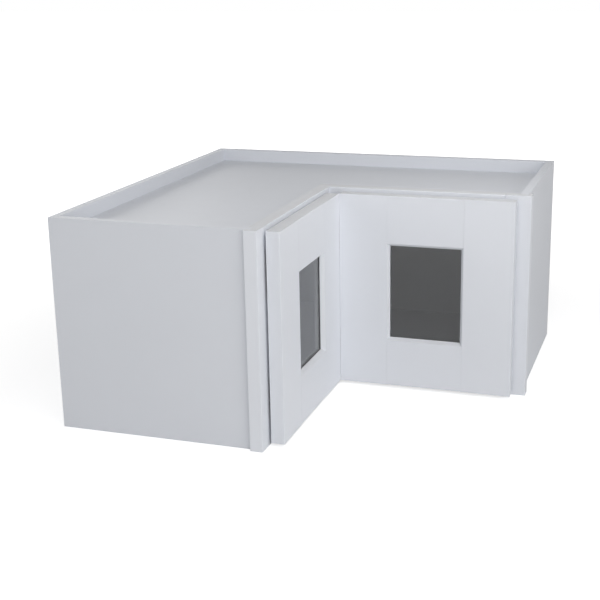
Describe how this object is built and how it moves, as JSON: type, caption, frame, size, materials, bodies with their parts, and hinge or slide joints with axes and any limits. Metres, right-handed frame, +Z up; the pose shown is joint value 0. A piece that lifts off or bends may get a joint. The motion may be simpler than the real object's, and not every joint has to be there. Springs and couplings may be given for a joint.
{
  "type": "corner wall cabinet",
  "caption": "L-shaped corner wall cabinet with a face frame and folding glazed doors: one door swings on wide-opening hinges and carries the other.",
  "frame": {"origin": "centre of the square footprint, on the plane of the cabinet's lower edges", "axes": "+Z up; +Y towards the rear wall; -X towards the left wall; the room is on the +X, -Y side"},
  "size_m": [0.6096, 0.6096, 0.3048],
  "materials": {
    "painted_case": "satin white paint on plywood",
    "painted_frame": "satin white paint on hardwood",
    "painted_door": "satin white paint on hardwood",
    "smoked_glass": "polished, grey tint",
    "black_rubber": "matt",
    "clear_rubber": "soft, translucent",
    "nickel_plate": "nickel-plated pressed steel",
    "steel_pin": "ground steel"
  },
  "bodies": {
    "case": {"left_end_panel": "painted_case", "right_end_panel": "painted_case", "left_back_panel": "painted_case", "rear_back_panel": "painted_case", "top_panel": "painted_case", "bottom_panel": "painted_case", "left_hanging_rail": "painted_case", "rear_hanging_rail": "painted_case", "left_stile": "painted_frame", "right_stile": "painted_frame", "left_bottom_rail": "painted_frame", "left_top_rail": "painted_frame", "right_bottom_rail": "painted_frame", "right_top_rail": "painted_frame", "lower_hinge_bracket": "nickel_plate", "lower_hinge_frame_pin": "steel_pin", "upper_hinge_bracket": "nickel_plate", "upper_hinge_frame_pin": "steel_pin"},
    "swing_links": {"lower_hinge_swing_link": "nickel_plate", "lower_hinge_elbow_pin": "steel_pin", "upper_hinge_swing_link": "nickel_plate", "upper_hinge_elbow_pin": "steel_pin"},
    "outer_links": {"lower_hinge_outer_link": "nickel_plate", "lower_hinge_cup_pin": "steel_pin", "upper_hinge_outer_link": "nickel_plate", "upper_hinge_cup_pin": "steel_pin"},
    "left_door": {"left_door_outer_stile": "painted_door", "left_door_inner_stile": "painted_door", "left_door_bottom_rail": "painted_door", "left_door_top_rail": "painted_door", "left_door_gasket": "black_rubber", "left_door_glass": "smoked_glass", "left_door_lower_bead": "painted_door", "left_door_right_bead": "painted_door", "left_door_upper_bead": "painted_door", "left_door_left_bead": "painted_door", "lower_hinge_cup": "nickel_plate", "upper_hinge_cup": "nickel_plate", "lower_corner_hinge_left_leaf": "nickel_plate", "lower_corner_hinge_pin": "steel_pin", "upper_corner_hinge_left_leaf": "nickel_plate", "upper_corner_hinge_pin": "steel_pin"},
    "right_door": {"right_door_inner_stile": "painted_door", "right_door_outer_stile": "painted_door", "right_door_bottom_rail": "painted_door", "right_door_top_rail": "painted_door", "right_door_gasket": "black_rubber", "right_door_glass": "smoked_glass", "right_door_lower_bead": "painted_door", "right_door_right_bead": "painted_door", "right_door_upper_bead": "painted_door", "right_door_left_bead": "painted_door", "lower_corner_hinge_right_leaf": "nickel_plate", "upper_corner_hinge_right_leaf": "nickel_plate", "lower_bumper": "clear_rubber", "upper_bumper": "clear_rubber"}
  },
  "joints": [
    {"name": "frame_pin", "type": "hinge", "parent": "case", "child": "swing_links", "pos_m": [-0.0003, -0.2633, 0.1524], "axis": [0, 0, 1], "range_deg": [-130, 0]},
    {"name": "elbow_pin", "type": "hinge", "parent": "swing_links", "child": "outer_links", "pos_m": [-0.0109, -0.2365, 0.1524], "axis": [0, 0, 1], "range_deg": [0, 95]},
    {"name": "cup_pin", "type": "hinge", "parent": "outer_links", "child": "left_door", "pos_m": [0.0041, -0.2597, 0.1524], "axis": [0, 0, 1], "range_deg": [-130, 0]},
    {"name": "corner_pin", "type": "hinge", "parent": "left_door", "child": "right_door", "pos_m": [0.0184, -0.0184, 0.1524], "axis": [0, 0, 1], "range_deg": [0, 90]}
  ],
  "couplings": [
    {"joint": "frame_pin", "follows": "corner_pin", "ratio": -1.4444},
    {"joint": "elbow_pin", "follows": "corner_pin", "ratio": 1.0556},
    {"joint": "cup_pin", "follows": "corner_pin", "ratio": -1.4444}
  ]
}
